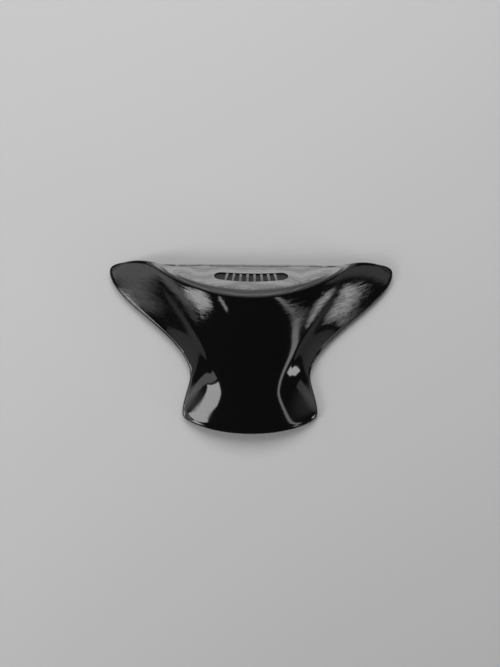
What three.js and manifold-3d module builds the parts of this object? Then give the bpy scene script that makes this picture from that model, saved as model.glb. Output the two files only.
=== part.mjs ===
// A rider's tank extender: one printed plastic saddle that sits on the rear slope of a motorbike's tank.
// Millimetres, +Z up. It lies as it rests on a table: X across the bike, +Y towards the front of the bike.
// The upper skin is made of rows that run from side to side: row 0 is the foot edge, row 1 the crest,
// row 2 the front edge. Along a row, 0 is the centre line and 1 is the side of the part.
import * as THREE from "three";
import { mergeVertices } from "three/addons/utils/BufferGeometryUtils.js";
import Module from "manifold-3d";

// Lengths along the centre line, from the middle of the foot edge.
const crestY = 88.4;
const frontY = 108.8;

// Outline of the right half, seen from above.
const cornerX = 43.6; // middle of the rounded foot corner
const cornerY = 9.1;
const cornerAngle = 44; // direction of the outline there, degrees
const waistX = 39.9; // narrowest place
const waistY = 36.9;
const tipX = 95.2; // outermost point of the horn
const tipY = 106.7;
const hornTopX = 80; // foremost point of the horn
const hornTopY = 112.7;
const hornRootX = 49; // the straight front edge ends here

// How far each curve of the outline runs on before it bends.
const footStraight = 27;
const cornerRun = 2.6;
const waistRunBack = 6;
const cornerRunUp = 6;
const waistRunFront = 25.7;
const tipRunBack = 20.8;
const tipRunFront = 4.8;
const hornTopRun = 7.4;
const hornRootRun = 11.2;

// The crest, seen from above: a parabola that runs on into the horn.
const crestBendX = 61.2;
const crestBendRise = 18.8;
const crestRunOut = 8;
const crestTipRunX = 11.3;
const crestTipRunY = 7;

// Heights of the upper skin.
const edgeThickness = 5;
const footRise = 13.5; // upper face at the middle of the foot edge
const footSlope = 0.15; // rise per millimetre where the rear face leaves the foot edge
const crestRise = 38; // where the rear and front faces would meet without their rounding
const crestSlope = 0.2; // rise per millimetre where the rear face meets the crest
const hornFlare = 1; // below 1 the crest stays full far out along the horns
const bodyBulge = 0.8; // 1 would make the body's cross-section at the waist a half circle
const footBulge = 0.75;
const hornFullX = 81.5; // the body's arch has turned into the horn's hollow curve where a row reaches this far out
const crestRound = 3.6; // half the width of the crest's rounding, seen from above
const tipRound = 1.4;
const roundFade = 0.12; // the rounding dies away over this share of each row, at the tip
const faceHollow = 1.2;

// Underside, which follows the tank.
const landHeight = 17; // flat land under the crown of the tank
const landStartY = 65;
const landShare = 0.42; // share of each row that the land takes
const footHeight = 9; // underside at the middle of the foot edge
const sideHeight = 1.2; // underside at mid length of each side

// Edges.
const edgeRound = 1.6;
const edgeChamfer = 0.5;

// Ribbed recess on the front face.
const recessLength = 46;
const recessWidth = 7.5;
const recessDepth = 1.2;
const recessPlace = 0.5; // share of the way from the crest to the front edge
const ribPitch = 4.4;
const ribWidth = 1.9;
const ribCount = 8;
const ribSink = 0.35;

// Mesh steps.
const columns = 28; // on each side of the centre line
const rearRows = 26;
const frontRows = 14;
const underStep = 4; // upper cells to one cell of the underside
const recessSteps = 36;
const crowding = 1.35; // above 1 the rows crowd towards the crest
const tiny = 0.01; // step for slopes

const xy = (x, y) => new THREE.Vector2(x, y);
const lerp = THREE.MathUtils.lerp;
const clamp01 = (value) => THREE.MathUtils.clamp(value, 0, 1);

// A curve from one point to another, with the run of its tangent at each end.
function curve(from, leave, arrive, to) {
  return new THREE.CubicBezierCurve(from, from.clone().add(leave), to.clone().sub(arrive), to);
}

function joined(...curves) {
  const path = new THREE.CurvePath();
  curves.forEach((piece) => path.add(piece));
  return path;
}

// The four stretches of the half outline, and the crest.
const corner = xy(cornerX, cornerY);
const waist = xy(waistX, waistY);
const tip = xy(tipX, tipY);
const hornTop = xy(hornTopX, hornTopY);
const hornRoot = xy(hornRootX, frontY);
const crestBend = xy(crestBendX, crestY + crestBendRise);
const cornerAlong = xy(1, 0).rotateAround(xy(0, 0), THREE.MathUtils.degToRad(cornerAngle));
const bendSlope = (2 * crestBendRise) / crestBendX;

const footCurve = joined(
  curve(xy(0, 0), xy(footStraight, 0), cornerAlong.clone().multiplyScalar(cornerRun), corner),
);
const sideCurve = joined(
  curve(corner, cornerAlong.clone().multiplyScalar(cornerRunUp), xy(0, waistRunBack), waist),
  curve(waist, xy(0, waistRunFront), xy(0, tipRunBack), tip),
);
const tipCurve = joined(curve(tip, xy(0, tipRunFront), xy(-hornTopRun, 0), hornTop));
const frontCurve = joined(
  new THREE.LineCurve(xy(0, frontY), hornRoot),
  curve(hornRoot, xy(hornRootRun, 0), xy(hornRootRun, 0), hornTop),
);
const crestCurve = joined(
  new THREE.QuadraticBezierCurve(xy(0, crestY), xy(crestBendX / 2, crestY), crestBend),
  curve(crestBend, xy(crestRunOut, crestRunOut * bendSlope), xy(crestTipRunX, -crestTipRunY), tip),
);

// A point of the outline moved inwards by the edge rounding, with its outward direction.
function inset(path, share, side) {
  const ahead = path.getPoint(Math.min(share + tiny ** 2, 1));
  const behind = path.getPoint(Math.max(share - tiny ** 2, 0));
  const along = ahead.sub(behind).normalize();
  const outward = xy(along.y * side, -along.x * side);
  return { point: path.getPoint(share).addScaledVector(outward, -edgeRound), outward };
}

const footEdge = (share) => inset(footCurve, share, 1);
const sideEdge = (share) => inset(sideCurve, share, 1);
const tipEdge = (share) => inset(tipCurve, share, 1);
const frontEdge = (share) => inset(frontCurve, share, -1);

// Place of a point seen from above. across is signed, and row runs from 0 to 2.
function plan(across, row) {
  const share = Math.abs(across);
  const rear = row <= 1;
  const t = rear ? row : row - 1;
  const near = rear ? (s) => footEdge(s).point : (s) => crestCurve.getPoint(s);
  const far = rear ? (s) => crestCurve.getPoint(s) : (s) => frontEdge(s).point;
  const end = rear ? sideEdge(t).point : tipEdge(t).point;
  const here = near(share).lerp(far(share), t);
  const shift = end.sub(near(1).lerp(far(1), t));
  const x = here.x + shift.x * share;
  return xy(x * Math.sign(across), here.y + shift.y);
}

// Cross-sections of the upper skin: 1 at the centre line and 0 at the side.
function arch(share, bulge) {
  const low = Math.sqrt(1 - bulge * bulge);
  return (Math.sqrt(1 - (bulge * share) ** 2) - low) / (1 - low);
}

function flare(share) {
  return Math.cos((Math.PI / 2) * clamp01(share)) ** hornFlare;
}

// Height of the upper skin on the centre line, behind the crest.
function spine(y) {
  const t = clamp01(y / crestY);
  const start = footRise * (2 * t ** 3 - 3 * t ** 2 + 1) + footSlope * crestY * (t ** 3 - 2 * t ** 2 + t);
  const finish = crestRise * (3 * t ** 2 - 2 * t ** 3) + crestSlope * crestY * (t ** 3 - t ** 2);
  return start + finish;
}

// Underside: a flat land in the middle that falls away to the sides and to the foot.
function crown(y) {
  const back = Math.max(landStartY - y, 0) / landStartY;
  return lerp(landHeight, footHeight, back * back);
}

function land(share) {
  const out = clamp01((share - landShare) / (1 - landShare));
  return Math.cos((Math.PI / 2) * out) ** 2;
}

function underside(across, row) {
  const rear = row <= 1;
  const side = rear ? sideHeight * Math.sin(Math.PI * row) : 0;
  const reach = rear ? plan(1, row).x : plan(1, 1).x;
  const share = Math.abs(plan(across, row).x) / reach;
  return lerp(side, crown(plan(0, row).y), land(share));
}

// The two faces that meet at the crest, before its rounding.
function rearFace(across, row) {
  const reach = plan(1, row);
  const share = Math.abs(plan(across, row).x) / reach.x;
  const side = underside(1, row) + edgeThickness;
  const horn = THREE.MathUtils.smoothstep(reach.x, waistX, hornFullX);
  const bulge = lerp(footBulge, bodyBulge, clamp01(reach.y / waistY));
  const section = lerp(arch(share, bulge), flare(share), horn);
  return lerp(side, spine(plan(0, row).y), section);
}

function frontFace(across, row) {
  const front = underside(across, 2) + edgeThickness;
  const t = row - 1;
  const hollow = faceHollow * Math.sin(Math.PI * t) * flare(across);
  return lerp(rearFace(across, 1), front, t) - hollow;
}

// How far the crest's rounding lowers the skin. Both faces lose their kink within half a width of the crest.
function rounding(across, row) {
  const share = Math.min(Math.abs(across), 1 - 2 * tiny);
  const crest = plan(share, 1);
  const along = plan(share + tiny, 1).sub(plan(share - tiny, 1)).normalize();
  const offset = (place) => Math.abs(place.sub(crest).cross(along));
  const half = lerp(tipRound, crestRound, flare(share));
  const distance = offset(plan(share, row));
  if (distance >= half) return 0;
  const height = rearFace(share, 1);
  const rearSlope = (height - rearFace(share, 1 - tiny)) / offset(plan(share, 1 - tiny));
  const frontSlope = (height - frontFace(share, 1 + tiny)) / offset(plan(share, 1 + tiny));
  const fade = clamp01((1 - Math.abs(across)) / roundFade);
  return (fade * Math.max(rearSlope + frontSlope, 0) * (half - distance) ** 2) / (4 * half);
}

function skin(across, row) {
  const face = row <= 1 ? rearFace(across, row) : frontFace(across, row);
  return face - rounding(across, row);
}

function rowShare(index) {
  const rear = clamp01(index / rearRows);
  const front = clamp01((index - rearRows) / frontRows);
  return 1 - (1 - rear) ** crowding + front ** crowding;
}

const rows = rearRows + frontRows;
const acrossOf = (column) => (column - columns) / columns;

// Collects vertices and triangles.
class Shell {
  constructor() {
    this.points = [];
    this.faces = [];
  }
  add(x, y, z) {
    this.points.push(x, y, z);
    return this.points.length / 3 - 1;
  }
  fan(...loop) {
    for (let k = 1; k < loop.length - 1; k++) this.faces.push(loop[0], loop[k], loop[k + 1]);
  }
  geometry() {
    const made = new THREE.BufferGeometry();
    made.setAttribute("position", new THREE.Float32BufferAttribute(this.points, 3));
    made.setIndex(this.faces);
    return made;
  }
}

// The edge of the grid, anticlockwise from above: column and row of each point, with its outward direction.
function gridEdge() {
  const edge = [];
  const put = (column, row, outward) => {
    const left = column < columns;
    edge.push({ column, row, outward: left ? xy(-outward.x, outward.y) : outward });
  };
  const last = 2 * columns;
  for (let c = 0; c < last; c++) put(c, 0, footEdge(Math.abs(acrossOf(c))).outward);
  for (let r = 0; r < rows; r++) put(last, r, sideOutward(r));
  for (let c = last; c > 0; c--) put(c, rows, frontEdge(Math.abs(acrossOf(c))).outward);
  for (let r = rows; r > 0; r--) put(0, r, sideOutward(r));
  return edge;
}

function sideOutward(index) {
  const row = rowShare(index);
  return row <= 1 ? sideEdge(row).outward : tipEdge(row - 1).outward;
}

function upperGrid(shell) {
  const grid = [];
  for (let c = 0; c <= 2 * columns; c++) {
    grid.push([]);
    for (let r = 0; r <= rows; r++) {
      const place = plan(acrossOf(c), rowShare(r));
      grid[c].push(shell.add(place.x, place.y, skin(acrossOf(c), rowShare(r))));
    }
  }
  for (let c = 0; c < 2 * columns; c++)
    for (let r = 0; r < rows; r++) upperCell(shell, grid, c, r);
  return grid;
}

// Each cell is cut along the diagonal that runs down from the centre line, so that both sides match.
function upperCell(shell, grid, c, r) {
  const [a, b, d, e] = [grid[c][r], grid[c + 1][r], grid[c + 1][r + 1], grid[c][r + 1]];
  if (c < columns) shell.fan(b, d, e, a);
  else shell.fan(a, b, d, e);
}

// Loops of the edge, from the upper skin down to the underside.
function edgeLoops(shell, edge, grid) {
  const upper = edge.map((place) => grid[place.column][place.row]);
  const loops = [upper];
  const ring = (outset, height) => {
    loops.push(
      edge.map((place, k) => {
        const [x, y, z] = shell.points.slice(3 * upper[k], 3 * upper[k] + 3);
        const low = underside(acrossOf(place.column), rowShare(place.row));
        const at = place.outward.clone().multiplyScalar(outset);
        return shell.add(x + at.x, y + at.y, height(z, low));
      }),
    );
  };
  const bend = Math.SQRT1_2 * edgeRound;
  ring(bend, (high) => high - edgeRound + bend);
  ring(edgeRound, (high) => high - edgeRound);
  ring(edgeRound, (high, low) => low + edgeChamfer);
  ring(edgeRound - edgeChamfer, (high, low) => low);
  for (let k = 0; k < loops.length - 1; k++) stitch(shell, loops[k], loops[k + 1]);
  return loops[loops.length - 1];
}

function stitch(shell, above, below) {
  above.forEach((start, k) => {
    const next = (k + 1) % above.length;
    shell.fan(below[k], below[next], above[next], start);
  });
}

// The underside in coarse cells. A cell at the edge takes in every edge point, from its inner corner.
function lowerGrid(shell, edge, rim) {
  const atEdge = new Map(edge.map((place, k) => [place.column + "," + place.row, rim[k]]));
  const inside = new Map();
  const corner = (c, r) => {
    const key = c + "," + r;
    if (atEdge.has(key)) return atEdge.get(key);
    if (!inside.has(key)) {
      const place = plan(acrossOf(c), rowShare(r));
      inside.set(key, shell.add(place.x, place.y, underside(acrossOf(c), rowShare(r))));
    }
    return inside.get(key);
  };
  for (let c = 0; c < 2 * columns; c += underStep)
    for (let r = 0; r < rows; r += underStep) lowerCell(shell, corner, c, r);
}

function lowerCell(shell, corner, c, r) {
  const right = Math.min(c + underStep, 2 * columns);
  const top = Math.min(r + underStep, rows);
  const onEdge = (column, row) => column === 0 || row === 0 || column === 2 * columns || row === rows;
  const loop = [];
  const walk = (c0, r0, c1, r1) => {
    const steps = Math.max(Math.abs(c1 - c0), Math.abs(r1 - r0));
    for (let k = 0; k < steps; k++) {
      const column = c0 + Math.sign(c1 - c0) * k;
      const row = r0 + Math.sign(r1 - r0) * k;
      if (k === 0 || onEdge(column, row)) loop.push([column, row]);
    }
  };
  walk(c, r, c, top);
  walk(c, top, right, top);
  walk(right, top, right, r);
  walk(right, r, c, r);
  const middle = (place) => Math.abs(place[0] - columns) / columns + Math.abs(2 * place[1] - rows) / rows;
  const corners = [[c, r], [c, top], [right, top], [right, r]];
  const inner = corners.reduce((best, place) => (middle(place) < middle(best) ? place : best));
  const start = loop.findIndex((place) => place[0] === inner[0] && place[1] === inner[1]);
  const turned = [...loop.slice(start), ...loop.slice(0, start)];
  shell.fan(...turned.map((place) => corner(...place)));
}

function plainBody() {
  const shell = new Shell();
  const edge = gridEdge();
  const grid = upperGrid(shell);
  const rim = edgeLoops(shell, edge, grid);
  lowerGrid(shell, edge, rim);
  return shell.geometry();
}

// A point of the front face, by its distance from the recess's middle along the face and up the face.
function facePoint(along, down, lift) {
  const middle = faceAt(0, recessPlace);
  const wide = faceAt(tiny, recessPlace).distanceTo(middle) / tiny;
  const tall = faceAt(0, recessPlace + tiny).distanceTo(middle) / tiny;
  const across = along / wide;
  const t = recessPlace + down / tall;
  const here = faceAt(across, t);
  const toSide = faceAt(across + tiny, t).sub(here);
  const toFront = faceAt(across, t + tiny).sub(here);
  return here.addScaledVector(toSide.cross(toFront).normalize(), lift);
}

function faceAt(across, t) {
  const place = plan(across, 1 + t);
  return new THREE.Vector3(place.x, place.y, skin(across, 1 + t));
}

// A bar that follows the front face: sections along it, each with its own half width.
function faceBar(sections, bottom, top) {
  const shell = new Shell();
  const rings = sections.map(([along, half]) => {
    const corners = [[-half, bottom], [half, bottom], [half, top], [-half, top]];
    return corners.map(([down, lift]) => shell.add(...facePoint(along, down, lift)));
  });
  for (let k = 0; k < rings.length - 1; k++) stitch(shell, rings[k + 1], rings[k]);
  shell.fan(...rings[0].toReversed());
  shell.fan(...rings.at(-1));
  return shell.geometry();
}

// The recess has round ends.
function recessSections() {
  const half = recessWidth / 2;
  const straight = recessLength / 2 - half;
  const sections = [];
  for (let k = 0; k <= recessSteps; k++) {
    const along = -Math.cos((Math.PI * (k + 0.5)) / (recessSteps + 1)) * (recessLength / 2);
    const past = Math.max(Math.abs(along) - straight, 0);
    sections.push([along, Math.sqrt(half * half - past * past)]);
  }
  return sections;
}

function ribSections(index) {
  const middle = (index - (ribCount - 1) / 2) * ribPitch;
  const reach = recessWidth;
  return [[middle - ribWidth / 2, reach], [middle + ribWidth / 2, reach]];
}

const wasm = await Module();
wasm.setup();

function solid(geometry) {
  const merged = mergeVertices(geometry, 1e-4);
  const vertProperties = new Float32Array(merged.attributes.position.array);
  const triVerts = new Uint32Array(merged.index.array);
  return new wasm.Manifold(new wasm.Mesh({ numProp: 3, vertProperties, triVerts }));
}

function geometryOf(body) {
  const mesh = body.getMesh();
  const made = new THREE.BufferGeometry();
  made.setAttribute("position", new THREE.Float32BufferAttribute(mesh.vertProperties, 3));
  made.setIndex(Array.from(mesh.triVerts));
  return made;
}

function recess() {
  let cutter = solid(faceBar(recessSections(), -recessDepth, recessDepth));
  for (let k = 0; k < ribCount; k++)
    cutter = cutter.subtract(solid(faceBar(ribSections(k), -2 * recessDepth, -ribSink)));
  return cutter;
}

function extenderBody() {
  const shape = geometryOf(solid(plainBody()).subtract(recess()));
  shape.computeBoundingBox();
  const box = shape.boundingBox;
  const centre = box.getCenter(new THREE.Vector3());
  shape.translate(-centre.x, -centre.y, -box.min.z);
  shape.computeVertexNormals();
  const plastic = new THREE.MeshStandardMaterial({ color: 0x17171a, roughness: 0.28, metalness: 0 });
  const mesh = new THREE.Mesh(shape, plastic);
  mesh.name = "extender_body";
  return mesh;
}

const part = new THREE.Group();
part.add(extenderBody());

export default part;
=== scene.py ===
import math

import bmesh
import bpy
import numpy as np
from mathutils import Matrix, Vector


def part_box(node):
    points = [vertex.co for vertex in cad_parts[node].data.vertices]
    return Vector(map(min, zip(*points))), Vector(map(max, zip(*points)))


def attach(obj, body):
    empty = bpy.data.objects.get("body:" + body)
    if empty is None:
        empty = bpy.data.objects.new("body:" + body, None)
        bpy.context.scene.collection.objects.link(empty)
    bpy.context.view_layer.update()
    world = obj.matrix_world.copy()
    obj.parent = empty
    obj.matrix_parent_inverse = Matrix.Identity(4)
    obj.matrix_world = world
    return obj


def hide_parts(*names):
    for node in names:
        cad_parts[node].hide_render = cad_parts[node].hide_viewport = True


MM = 0.001

# Sizes in millimetres, as in the part's own source. y runs from the middle of the foot edge.
CREST_Y = 88.4
FRONT_Y = 108.8
CORNER = (43.6, 9.1)
CORNER_ANGLE = math.radians(44)
WAIST = (39.9, 36.9)
TIP = (95.2, 106.7)
HORN_TOP = (80.0, 112.7)
HORN_ROOT_X = 49.0
FOOT_STRAIGHT = 27.0
CORNER_RUN = 2.6
CORNER_RUN_UP = 6.0
WAIST_RUN_BACK = 6.0
WAIST_RUN_FRONT = 25.7
TIP_RUN_BACK = 20.8
TIP_RUN_FRONT = 4.8
HORN_TOP_RUN = 7.4
HORN_ROOT_RUN = 11.2
CREST_BEND_X = 61.2
CREST_BEND_RISE = 18.8
CREST_RUN_OUT = 8.0
CREST_TIP_RUN = (11.3, -7.0)
EDGE_THICKNESS = 5.0
FOOT_RISE = 13.5
FOOT_SLOPE = 0.15
CREST_RISE = 38.0
CREST_SLOPE = 0.2
HORN_FLARE = 1.0
BODY_BULGE = 0.8
FOOT_BULGE = 0.75
HORN_FULL_X = 81.5
CREST_ROUND = 3.6
TIP_ROUND = 1.4
ROUND_FADE = 0.12
FACE_HOLLOW = 1.2
LAND_HEIGHT = 17.0
LAND_START_Y = 65.0
LAND_SHARE = 0.42
FOOT_HEIGHT = 9.0
SIDE_HEIGHT = 1.2
EDGE_ROUND = 1.6
LOWER_ROUND = 0.5
RECESS_LENGTH = 46.0
RECESS_WIDTH = 7.5
RECESS_DEPTH = 1.2
RECESS_PLACE = 0.5
MOUTH_ROUND = 0.35
RIB_PITCH = 4.4
RIB_WIDTH = 1.9
RIB_COUNT = 8
RIB_SINK = 0.35
RIB_ROUND = 0.3

# Mesh steps, with the angles of the rounded edges in degrees.
COLUMNS = 120
REAR_ROWS = 88
FRONT_ROWS = 44
CROWDING = 1.35
CURVE_STEPS = 1200
EDGE_ANGLES = (15, 30, 45, 60, 75, 90)
LOWER_ANGLES = (0, 30, 60, 90)
MOUTH_ANGLES = (20, 40, 58)
MOUTH_END_STEPS = 28
MOUTH_BAR_STEPS = 58
RIB_ANGLES = (0, 30, 60, 90)
RIB_STEPS = 16
SHARP_ANGLE = 38
TINY = 0.01
# How far the tools that cut the recess reach past what they cut.
CUTTER_LIFT = 0.5
CUTTER_FLARE = 1.6
RIB_REACH = 0.75

# Direction in which the layers were laid, how thick they are, and how they waver.
LAYER_UP = (0.0, 0.56, 0.828)
LAYER = 0.2
WAVER = 9.0
RELIEF = 0.07
# Direction that the middle of the front face looks in, and how far to each side it is satin and gets painted
# light.
FRONT_WAY = (0.0, 0.672, 0.741)
SATIN_AND_PAINTED_LIGHT_X = 66.0
# How far the face's plane lies from the origin along that direction.
FACE_LEVEL = 50.35

# Tones and finishes of the print: glossy black skin; painted light, mid grey on the crest's rounding and pale
# grey on the front face, where the surface looks forward; and painted shade in the recess.
BLACK = (0.0028, 0.0028, 0.003, 1)
PAINTED_RIDGE_LIGHT = (0.12, 0.12, 0.123, 1)
PAINTED_FRONT_LIGHT = (0.30, 0.30, 0.305, 1)
WHITE = (1, 1, 1, 1)
SHADED = (0.035, 0.035, 0.036, 1)
GLOSS_ROUGHNESS = 0.045
FACE_ROUGHNESS = 0.45
PLASTIC_IOR = 1.4
FLOOR_PAINT = (0.63, 0.63, 0.635, 1)

# Stage and camera, in metres. Focal length and shift are in pixels of a picture 667 high.
FLOOR_REACH = 6.0
LAMP_DISTANCE = 1.0
LAMP_AIM = (0, 0, 0.025)
WORLD_STRENGTH = 0.06
PICTURE = 667
FOCAL_LENGTH = 501
CAMERA_SHIFT = (-0.4, -0.5)
SENSOR = 36
CAMERA_PLACE = (0, -0.0073, 0.3386)
CAMERA_TURN = (math.asin(0.050), 0, math.radians(0.5))


def lerp(a, b, t):
    return a + (b - a) * t


def smoothstep(value, low, high):
    t = np.clip((value - low) / (high - low), 0, 1)
    return t * t * (3 - 2 * t)


# A plan curve, walked by its length. Each piece is a list of Bezier control points.
class Path:
    def __init__(self, *pieces):
        points = [self.bezier(np.array(piece, float)) for piece in pieces]
        self.points = np.concatenate([points[0]] + [more[1:] for more in points[1:]])
        steps = np.linalg.norm(np.diff(self.points, axis=0), axis=1)
        self.walked = np.concatenate([[0], np.cumsum(steps)])
        self.walked /= self.walked[-1]
        along = np.gradient(self.points, self.walked, axis=0)
        self.along = along / np.linalg.norm(along, axis=1)[:, None]

    @staticmethod
    def bezier(control):
        t = np.linspace(0, 1, CURVE_STEPS)[:, None]
        layer = [np.repeat(point[None], CURVE_STEPS, 0) for point in control]
        while len(layer) > 1:
            layer = [a + (b - a) * t for a, b in zip(layer, layer[1:])]
        return layer[0]

    def at(self, share):
        return tuple(np.interp(share, self.walked, self.points[:, k]) for k in (0, 1))

    def outward(self, share, side):
        ax, ay = (np.interp(share, self.walked, self.along[:, k]) for k in (0, 1))
        size = np.hypot(ax, ay)
        return ay / size * side, -ax / size * side

    def inset(self, share, side):
        x, y = self.at(share)
        nx, ny = self.outward(share, side)
        return x - nx * EDGE_ROUND, y - ny * EDGE_ROUND


def curve(start, leave, arrive, end):
    after = (start[0] + leave[0], start[1] + leave[1])
    before_end = (end[0] - arrive[0], end[1] - arrive[1])
    return [start, after, before_end, end]


def along_corner(run):
    return math.cos(CORNER_ANGLE) * run, math.sin(CORNER_ANGLE) * run


CREST_BEND = (CREST_BEND_X, CREST_Y + CREST_BEND_RISE)
BEND_SLOPE = 2 * CREST_BEND_RISE / CREST_BEND_X

FOOT = Path(curve((0, 0), (FOOT_STRAIGHT, 0), along_corner(CORNER_RUN), CORNER))
SIDE = Path(
    curve(CORNER, along_corner(CORNER_RUN_UP), (0, WAIST_RUN_BACK), WAIST),
    curve(WAIST, (0, WAIST_RUN_FRONT), (0, TIP_RUN_BACK), TIP),
)
TIP_EDGE = Path(curve(TIP, (0, TIP_RUN_FRONT), (-HORN_TOP_RUN, 0), HORN_TOP))
FRONT = Path(
    [(0, FRONT_Y), (HORN_ROOT_X, FRONT_Y)],
    curve((HORN_ROOT_X, FRONT_Y), (HORN_ROOT_RUN, 0), (HORN_ROOT_RUN, 0), HORN_TOP),
)
CREST = Path(
    [(0, CREST_Y), (CREST_BEND_X / 2, CREST_Y), CREST_BEND],
    curve(CREST_BEND, (CREST_RUN_OUT, CREST_RUN_OUT * BEND_SLOPE), CREST_TIP_RUN, TIP),
)


# Place seen from above: across is -1..1, row is 0 at the foot edge, 1 at the crest, 2 at the front edge.
def plan(across, row):
    across, row = np.broadcast_arrays(np.asarray(across, float), np.asarray(row, float))
    share = np.abs(across)
    rear = row <= 1
    t = np.where(rear, row, row - 1)
    one = np.ones_like(share)

    def between(s):
        foot, crest, front = FOOT.inset(s, 1), CREST.at(s), FRONT.inset(s, -1)
        near = [np.where(rear, foot[k], crest[k]) for k in (0, 1)]
        far = [np.where(rear, crest[k], front[k]) for k in (0, 1)]
        return [lerp(near[k], far[k], t) for k in (0, 1)]

    here, rim = between(share), between(one)
    side, tip = SIDE.inset(t, 1), TIP_EDGE.inset(t, 1)
    shift = [np.where(rear, side[k], tip[k]) - rim[k] for k in (0, 1)]
    return (here[0] + shift[0] * share) * np.sign(across), here[1] + shift[1]


def arch(share, bulge):
    low = np.sqrt(1 - bulge * bulge)
    return (np.sqrt(np.maximum(1 - (bulge * share) ** 2, 0)) - low) / (1 - low)


def flare(share):
    return np.maximum(np.cos(np.pi / 2 * np.clip(share, 0, 1)), 0) ** HORN_FLARE


def spine(y):
    t = np.clip(y / CREST_Y, 0, 1)
    start = FOOT_RISE * (2 * t**3 - 3 * t**2 + 1) + FOOT_SLOPE * CREST_Y * (t**3 - 2 * t**2 + t)
    return start + CREST_RISE * (3 * t**2 - 2 * t**3) + CREST_SLOPE * CREST_Y * (t**3 - t**2)


def crown(y):
    back = np.maximum(LAND_START_Y - y, 0) / LAND_START_Y
    return lerp(LAND_HEIGHT, FOOT_HEIGHT, back * back)


def land(share):
    return np.cos(np.pi / 2 * np.clip((share - LAND_SHARE) / (1 - LAND_SHARE), 0, 1)) ** 2


def underside(across, row):
    row = np.asarray(row, float)
    side = np.where(row <= 1, SIDE_HEIGHT * np.sin(np.pi * row), 0)
    reach = plan(1, np.minimum(row, 1))[0]
    share = np.abs(plan(across, row)[0]) / reach
    return lerp(side, crown(plan(0, row)[1]), land(share))


def rear_face(across, row):
    reach_x, reach_y = plan(1, row)
    share = np.abs(plan(across, row)[0]) / reach_x
    side = underside(1, row) + EDGE_THICKNESS
    horn = smoothstep(reach_x, WAIST[0], HORN_FULL_X)
    bulge = lerp(FOOT_BULGE, BODY_BULGE, np.clip(reach_y / WAIST[1], 0, 1))
    return lerp(side, spine(plan(0, row)[1]), lerp(arch(share, bulge), flare(share), horn))


def front_face(across, row):
    front = underside(across, 2) + EDGE_THICKNESS
    t = row - 1
    hollow = FACE_HOLLOW * np.sin(np.pi * t) * flare(np.abs(across))
    return lerp(rear_face(across, 1), front, t) - hollow


# How far the crest's rounding lowers the skin.
def rounding(across, row):
    share = np.minimum(np.abs(across), 1 - 2 * TINY)
    crest = plan(share, 1)
    ahead, behind = plan(share + TINY, 1), plan(share - TINY, 1)
    along = np.array([ahead[0] - behind[0], ahead[1] - behind[1]])
    along = along / np.hypot(*along)

    def offset(place):
        return np.abs((place[0] - crest[0]) * along[1] - (place[1] - crest[1]) * along[0])

    half = lerp(TIP_ROUND, CREST_ROUND, flare(share))
    distance = offset(plan(share, row))
    height = rear_face(share, 1)
    rear_slope = (height - rear_face(share, 1 - TINY)) / offset(plan(share, 1 - TINY))
    front_slope = (height - front_face(share, 1 + TINY)) / offset(plan(share, 1 + TINY))
    fade = np.clip((1 - np.abs(across)) / ROUND_FADE, 0, 1)
    drop = fade * np.maximum(rear_slope + front_slope, 0) * (half - distance) ** 2 / (4 * half)
    return np.where(distance < half, drop, 0)


def skin(across, row):
    row = np.asarray(row, float)
    face = np.where(row <= 1, rear_face(across, np.minimum(row, 1)), front_face(across, np.maximum(row, 1)))
    return face - rounding(across, row)


def row_share(index):
    rear = np.clip(index / REAR_ROWS, 0, 1)
    front = np.clip((index - REAR_ROWS) / FRONT_ROWS, 0, 1)
    return 1 - (1 - rear) ** CROWDING + front**CROWDING


# Outline of the skin, walked once round: its place in the grid and the plan direction that faces out.
def edge_loop(across, row):
    width, rows = len(across) - 1, len(row) - 1
    foot = [(c, 0) for c in range(width)]
    right = [(width, r) for r in range(rows)]
    front = [(c, rows) for c in range(width, 0, -1)]
    left = [(0, r) for r in range(rows, 0, -1)]
    column, line = np.array(foot + right + front + left).T
    share, t = np.abs(across[column]), row[line]
    side_out = np.stack(SIDE.outward(np.minimum(t, 1), 1), -1)
    tip_out = np.stack(TIP_EDGE.outward(np.maximum(t - 1, 0), 1), -1)
    out = np.where((t <= 1)[:, None], side_out, tip_out)
    first_right, first_front = len(foot), len(foot) + len(right)
    first_left = first_front + len(front)
    out[:first_right] = np.stack(FOOT.outward(share[:first_right], 1), -1)
    out[first_front:first_left] = np.stack(FRONT.outward(share[first_front:first_left], -1), -1)
    out[across[column] < 0, 0] *= -1
    return column, line, out


# Rings of points from the upper skin's rim over the rounded edge down to the underside.
def edge_rings(rim, floor, out):
    rings = []
    for angle in np.radians(EDGE_ANGLES):
        ring = rim.copy()
        ring[:, :2] += out * EDGE_ROUND * math.sin(angle)
        ring[:, 2] += EDGE_ROUND * (math.cos(angle) - 1)
        rings.append(ring)
    for angle in np.radians(LOWER_ANGLES):
        ring = rim.copy()
        ring[:, :2] += out * (EDGE_ROUND - LOWER_ROUND * (1 - math.cos(angle)))
        ring[:, 2] = floor + LOWER_ROUND * (1 - math.sin(angle))
        rings.append(ring)
    return rings


def grid_faces(index):
    columns, rows = index.shape
    return [
        (index[c, r], index[c + 1, r], index[c + 1, r + 1], index[c, r + 1])
        for c in range(columns - 1)
        for r in range(rows - 1)
    ]


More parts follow.
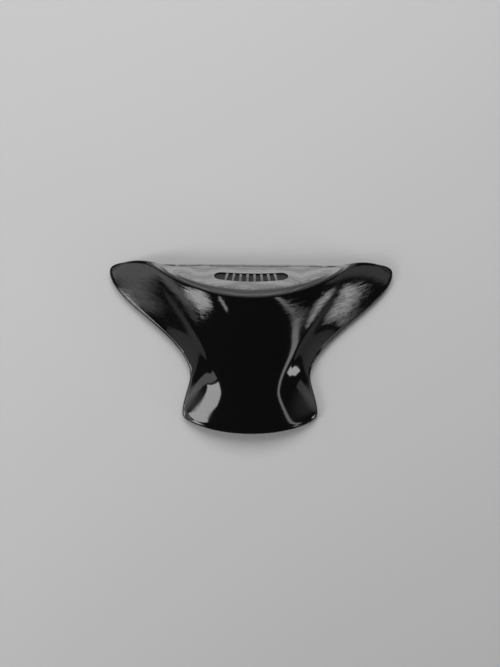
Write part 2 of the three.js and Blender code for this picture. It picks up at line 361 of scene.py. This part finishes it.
# Upper skin, rounded edge and underside as one closed mesh, in millimetres.
def body_mesh():
    across = np.linspace(-1, 1, 2 * COLUMNS + 1)
    row = row_share(np.arange(REAR_ROWS + FRONT_ROWS + 1))
    A, R = np.meshgrid(across, row, indexing="ij")
    x, y = plan(A, R)
    upper = np.stack([x, y, skin(A, R)], -1)
    lower = np.stack([x, y, underside(A, R)], -1)
    column, line, out = edge_loop(across, row)
    rings = edge_rings(upper[column, line], lower[column, line, 2], out)
    points = np.concatenate([upper.reshape(-1, 3)] + rings + [lower.reshape(-1, 3)])

    count = len(column)
    index = np.arange(A.size).reshape(A.shape)
    lower_index = index + A.size + count * len(rings)
    loops = [index[column, line]]
    loops += [np.arange(count) + A.size + count * k for k in range(len(rings))]
    loops.append(lower_index[column, line])
    faces = grid_faces(index)
    for above, below in zip(loops, loops[1:]):
        for k in range(count):
            n = (k + 1) % count
            faces.append((below[k], below[n], above[n], above[k]))
    faces += [(a, d, c, b) for a, b, c, d in grid_faces(lower_index)]
    return points, faces


def face_at(across, t):
    x, y = plan(across, 1 + t)
    return np.stack([x, y, skin(across, 1 + t)], -1)


# Points of the front face by their distance from the recess's middle along the face and up the face.
def face_points(along, down, lift):
    along, down, lift = np.broadcast_arrays(*(np.asarray(v, float) for v in (along, down, lift)))
    middle = face_at(0.0, RECESS_PLACE)
    wide = np.linalg.norm(face_at(TINY, RECESS_PLACE) - middle) / TINY
    tall = np.linalg.norm(face_at(0.0, RECESS_PLACE + TINY) - middle) / TINY
    across, t = along / wide, RECESS_PLACE + down / tall
    here = face_at(across, t)
    normal = np.cross(face_at(across + TINY, t) - here, face_at(across, t + TINY) - here)
    normal /= np.linalg.norm(normal, axis=-1)[..., None]
    return here + normal * lift[..., None]


# A closed solid from rings of points: each ring has as many points, and the ends are capped.
def lofted(rings):
    count = len(rings[0])
    faces = [tuple(reversed(range(count)))]
    for k in range(len(rings) - 1):
        for j in range(count):
            n = (j + 1) % count
            faces.append((k * count + j, k * count + n, (k + 1) * count + n, (k + 1) * count + j))
    last = (len(rings) - 1) * count
    faces.append(tuple(range(last, last + count)))
    return np.concatenate(rings), faces


def stadium(grow):
    half = RECESS_WIDTH / 2
    straight = RECESS_LENGTH / 2 - half
    angles = np.linspace(-np.pi / 2, np.pi / 2, MOUTH_END_STEPS)
    bars = np.linspace(-straight, straight, MOUTH_BAR_STEPS + 2)[1:-1]
    radius = half + grow
    right = np.stack([straight + radius * np.cos(angles), radius * np.sin(angles)], -1)
    top = np.stack([bars[::-1], np.full(len(bars), radius)], -1)
    left = np.stack([-straight - radius * np.cos(angles), -radius * np.sin(angles)], -1)
    bottom = np.stack([bars, np.full(len(bars), -radius)], -1)
    return np.concatenate([right, top, left, bottom])


# A quarter round, as how far it runs in and how far it drops.
def quarter(radius, angles):
    return [(radius * (1 - math.cos(angle)), -radius * (1 - math.sin(angle))) for angle in np.radians(angles)]


def recess_mesh():
    profile = [(0.0, -RECESS_DEPTH), (0.0, -MOUTH_ROUND)]
    profile += quarter(MOUTH_ROUND, MOUTH_ANGLES)
    profile.append((MOUTH_ROUND * CUTTER_FLARE, CUTTER_LIFT))
    rings = []
    for grow, lift in profile:
        outline = stadium(grow)
        rings.append(face_points(outline[:, 0], -outline[:, 1], lift))
    return lofted(rings)


def rib_mesh(index):
    middle = (index - (RIB_COUNT - 1) / 2) * RIB_PITCH
    half = RIB_WIDTH / 2
    rounds = [(inward, drop - RIB_SINK) for inward, drop in quarter(RIB_ROUND, RIB_ANGLES)]
    section = [(-half, -2 * RECESS_DEPTH), (half, -2 * RECESS_DEPTH)]
    section += [(half - inward, lift) for inward, lift in rounds]
    section += [(inward - half, lift) for inward, lift in reversed(rounds)]
    section = np.array(section)
    rings = []
    for down in np.linspace(-RECESS_WIDTH * RIB_REACH, RECESS_WIDTH * RIB_REACH, RIB_STEPS):
        rings.append(face_points(middle + section[:, 0], down, section[:, 1]))
    return lofted(rings)


def mesh_object(name, points, faces, shift):
    mesh = bpy.data.meshes.new(name)
    mesh.from_pydata((points * MM + np.array(shift)).tolist(), [], faces)
    mesh.validate()
    made = bmesh.new()
    made.from_mesh(mesh)
    bmesh.ops.recalc_face_normals(made, faces=made.faces)
    made.to_mesh(mesh)
    made.free()
    holder = bpy.data.objects.new(name, mesh)
    bpy.context.scene.collection.objects.link(holder)
    return holder


def cut(target, tool):
    modifier = target.modifiers.new("cut", "BOOLEAN")
    modifier.operation = "DIFFERENCE"
    modifier.solver = "EXACT"
    modifier.object = tool
    bpy.context.view_layer.update()
    graph = bpy.context.evaluated_depsgraph_get()
    done = bpy.data.meshes.new_from_object(target.evaluated_get(graph))
    target.modifiers.clear()
    old = target.data
    target.data = done
    bpy.data.meshes.remove(old)
    bpy.data.objects.remove(tool)


def build_body():
    points, faces = body_mesh()
    low = Vector(points.min(0).tolist()) * MM
    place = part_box("extender_body")[0] - low
    body = mesh_object("extender_skin", points, faces, place)
    recess = mesh_object("recess_cutter", *recess_mesh(), place)
    for k in range(RIB_COUNT):
        cut(recess, mesh_object("rib", *rib_mesh(k), place))
    cut(body, recess)
    body.data.name = "extender_skin"
    body.data.polygons.foreach_set("use_smooth", [True] * len(body.data.polygons))
    body.data.set_sharp_from_angle(angle=math.radians(SHARP_ANGLE))
    return body


# Small helpers for node trees.
class Tree:
    def __init__(self, name):
        self.material = bpy.data.materials.new(name)
        self.material.use_nodes = True
        self.nodes = self.material.node_tree.nodes
        self.links = self.material.node_tree.links
        self.nodes.clear()

    def node(self, kind, **settings):
        made = self.nodes.new(kind)
        for key, value in settings.items():
            setattr(made, key, value)
        return made

    def put(self, socket, value):
        if isinstance(value, bpy.types.NodeSocket):
            self.links.new(value, socket)
        else:
            socket.default_value = value

    def math(self, operation, *values, clamp=False):
        made = self.node("ShaderNodeMath", operation=operation, use_clamp=clamp)
        for socket, value in zip(made.inputs, values):
            self.put(socket, value)
        return made.outputs[0]

    def vector(self, operation, *values):
        made = self.node("ShaderNodeVectorMath", operation=operation)
        for socket, value in zip(made.inputs, values):
            self.put(socket, value)
        return made.outputs["Value" if operation == "DOT_PRODUCT" else "Vector"]

    def span(self, value, low, high, to_low=0.0, to_high=1.0):
        made = self.node("ShaderNodeMapRange", interpolation_type="SMOOTHSTEP")
        for socket, number in zip(made.inputs, (value, low, high, to_low, to_high)):
            self.put(socket, number)
        return made.outputs[0]

    def noise(self, place, scale, detail, roughness=0.5, dimensions="3D"):
        made = self.node("ShaderNodeTexNoise", noise_dimensions=dimensions)
        inputs = {"Vector": place, "Scale": scale, "Detail": detail, "Roughness": roughness}
        for name, value in inputs.items():
            self.put(made.inputs[name], value)
        return made.outputs["Fac"]

    def mix(self, share, a, b):
        made = self.node("ShaderNodeMix", data_type="RGBA")
        self.put(made.inputs["Factor"], share)
        for socket, value in ((made.inputs[6], a), (made.inputs[7], b)):
            self.put(socket, value)
        return made.outputs[2]

    def painted(self, inputs):
        shader = self.node("ShaderNodeBsdfPrincipled")
        for name, value in inputs.items():
            self.put(shader.inputs[name], value)
        self.links.new(shader.outputs[0], self.node("ShaderNodeOutputMaterial").inputs["Surface"])
        return self.material


# Each layer lies a little differently, which frays what the glossy face mirrors near the crest.
def frayed_layers(tree, layers, x, y, out):
    along = tree.node("ShaderNodeCombineXYZ")
    tree.put(along.inputs[0], tree.math("MULTIPLY", layers, 0.33))
    tree.put(along.inputs[1], tree.math("MULTIPLY", x, 0.1))
    shelf = tree.noise(along.outputs[0], 1.0, 2.0, dimensions="2D")
    forward = tree.span(y, 8.0, 24.0, 0.08, 1.0)
    aside = tree.span(out, 16.0, 34.0, 0.1, 1.0)
    return tree.math("MULTIPLY", shelf, tree.math("MULTIPLY", forward, aside))


# Black skin, with painted light where the surface looks forward: pale on the front face, mid grey on the
# crest's rounding; the layer lines deepen over the rounding.
def plastic_tone(tree, front_painted_light, ridge, lines, broad, grain):
    band = tree.math("SUBTRACT", ridge, front_painted_light)
    broad = tree.math("MULTIPLY", broad, tree.math("ADD", tree.math("MULTIPLY", band, 0.4), 0.17))
    marks = tree.math("ADD", tree.math("MULTIPLY", lines, 0.17), broad)
    speckle = tree.math("MULTIPLY", tree.math("SUBTRACT", grain, 0.5), 0.9)
    marks = tree.math("ADD", tree.math("ADD", marks, speckle), 0.5, clamp=True)
    # Painted light: mid grey on the crest's rounding, pale grey on the front face.
    face = tree.mix(front_painted_light, PAINTED_RIDGE_LIGHT, PAINTED_FRONT_LIGHT)
    face = tree.mix(marks, tree.mix(0.45, face, BLACK), tree.mix(0.25, face, WHITE))
    return tree.mix(ridge, BLACK, face)


def plastic_material():
    tree = Tree("printed_plastic")
    place = tree.vector("SCALE", tree.node("ShaderNodeTexCoord").outputs["Object"])
    place.node.inputs["Scale"].default_value = 1 / MM
    split = tree.node("ShaderNodeSeparateXYZ")
    tree.put(split.inputs[0], place)
    x, y = split.outputs["X"], split.outputs["Y"]
    facing = tree.vector("DOT_PRODUCT", tree.node("ShaderNodeNewGeometry").outputs["Normal"], FRONT_WAY)
    out = tree.math("ABSOLUTE", x)
    inner = tree.span(out, SATIN_AND_PAINTED_LIGHT_X - 8, SATIN_AND_PAINTED_LIGHT_X + 4, 1.0, 0.0)
    # Painted light: the front face and the crest's rounding are picked by which way they look; the ridge mask
    # also sets the rougher finish.
    front_painted_light = tree.math("MULTIPLY", tree.span(facing, 0.93, 0.985), inner)
    ridge = tree.math("MULTIPLY", tree.span(facing, 0.62, 0.92), inner)

    # Layers as contour lines, with the small waver of a printed wall.
    grain = tree.noise(place, 0.9, 3.0, 0.6)
    waver = tree.noise(place, 0.045, 1.0)
    layers = tree.math("DIVIDE", tree.vector("DOT_PRODUCT", place, LAYER_UP), LAYER)
    level = tree.math("ADD", layers, tree.math("MULTIPLY", waver, WAVER))
    lines = tree.math("SINE", tree.math("MULTIPLY", level, 2 * math.pi))
    broad = tree.math("SINE", tree.math("MULTIPLY", level, 0.4 * math.pi))
    rough_wall = tree.math("ADD", tree.math("MULTIPLY", lines, 0.3), tree.math("MULTIPLY", grain, 1.1))
    rough_wall = tree.math("MULTIPLY", rough_wall, ridge)
    relief = tree.math("ADD", frayed_layers(tree, layers, x, y, out), rough_wall)
    bump = tree.node("ShaderNodeBump")
    for name, value in (("Strength", 1.0), ("Distance", RELIEF * MM), ("Height", relief)):
        tree.put(bump.inputs[name], value)

    # Painted shade: what lies deeper than the front face's plane, the recess, is made darker.
    depth = tree.math("SUBTRACT", tree.vector("DOT_PRODUCT", place, FRONT_WAY), FACE_LEVEL)
    painted_recess_shade = tree.math("MULTIPLY", tree.span(depth, -0.9, -0.15, 1.0, 0.0), ridge)
    tone = tree.mix(painted_recess_shade, plastic_tone(tree, front_painted_light, ridge, lines, broad, grain), SHADED)
    finish = tree.span(ridge, 0.0, 1.0, GLOSS_ROUGHNESS, FACE_ROUGHNESS)
    rough = tree.math("ADD", finish, tree.math("MULTIPLY", grain, 0.03))
    inputs = {"Base Color": tone, "Roughness": rough, "Normal": bump.outputs["Normal"], "IOR": PLASTIC_IOR}
    return tree.painted(inputs)


def floor_material():
    inputs = {"Base Color": FLOOR_PAINT, "Roughness": 0.9, "Specular IOR Level": 0.1}
    return Tree("floor_paint").painted(inputs)


def plain_floor():
    mesh = bpy.data.meshes.new("floor")
    corners = [(x * FLOOR_REACH, y * FLOOR_REACH, 0) for x, y in ((-1, -1), (1, -1), (1, 1), (-1, 1))]
    mesh.from_pydata(corners, [], [(0, 1, 2, 3)])
    floor = bpy.data.objects.new("floor", mesh)
    bpy.context.scene.collection.objects.link(floor)
    mesh.materials.append(floor_material())


# A rectangular lamp seen from the part: heading from +Y towards +X, height and size in degrees,
# and brightness, where 1 is white.
def lamp(name, heading, height, wide, tall, brightness):
    a, e = math.radians(heading), math.radians(height)
    way = Vector((math.cos(e) * math.sin(a), math.cos(e) * math.cos(a), math.sin(e)))
    data = bpy.data.lights.new(name, "AREA")
    data.shape = "RECTANGLE"
    data.size = 2 * LAMP_DISTANCE * math.tan(math.radians(wide) / 2)
    data.size_y = 2 * LAMP_DISTANCE * math.tan(math.radians(tall) / 2)
    data.energy = brightness * math.pi * data.size * data.size_y
    holder = bpy.data.objects.new(name, data)
    bpy.context.scene.collection.objects.link(holder)
    holder.location = Vector(LAMP_AIM) + way * LAMP_DISTANCE
    holder.rotation_mode = "QUATERNION"
    holder.rotation_quaternion = (-way).to_track_quat("-Z", "Y")


def lights():
    lamp("front_key", 0, 52, 50, 36, 3.8)
    lamp("left_fill", -97, 20, 42, 12, 2.0)
    lamp("right_fill", 88, 21, 20, 14, 0.9)
    lamp("left_window", -112, 37.5, 15, 19, 10.0)
    lamp("right_window", 113.5, 10.5, 10, 9, 9.0)
    lamp("glint", -127, 57, 9, 2.5, 6.0)
    lamp("strip", 123, 34, 2.6, 60, 4.0)
    world = bpy.data.worlds.new("plain")
    world.use_nodes = True
    bpy.context.scene.world = world
    shade = world.node_tree.nodes["Background"]
    shade.inputs["Color"].default_value = WHITE
    shade.inputs["Strength"].default_value = WORLD_STRENGTH


def camera():
    data = bpy.data.cameras.new("view")
    data.sensor_width = SENSOR
    data.lens = FOCAL_LENGTH * SENSOR / PICTURE
    data.clip_start = 0.01
    data.clip_end = 50
    data.shift_x, data.shift_y = (shift / PICTURE for shift in CAMERA_SHIFT)
    holder = bpy.data.objects.new("view", data)
    bpy.context.scene.collection.objects.link(holder)
    holder.location = CAMERA_PLACE
    holder.rotation_euler = CAMERA_TURN
    bpy.context.scene.camera = holder


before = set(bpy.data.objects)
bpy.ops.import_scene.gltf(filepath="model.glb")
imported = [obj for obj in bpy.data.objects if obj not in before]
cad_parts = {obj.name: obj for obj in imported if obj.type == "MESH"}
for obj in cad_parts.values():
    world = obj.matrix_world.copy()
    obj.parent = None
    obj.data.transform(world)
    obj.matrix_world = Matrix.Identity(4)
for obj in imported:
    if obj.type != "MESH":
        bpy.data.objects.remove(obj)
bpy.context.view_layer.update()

body = build_body()
body.data.materials.clear()
body.data.materials.append(plastic_material())
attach(body, "root")
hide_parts("extender_body")

plain_floor()
lights()
camera()
bpy.context.scene.view_settings.view_transform = "Standard"
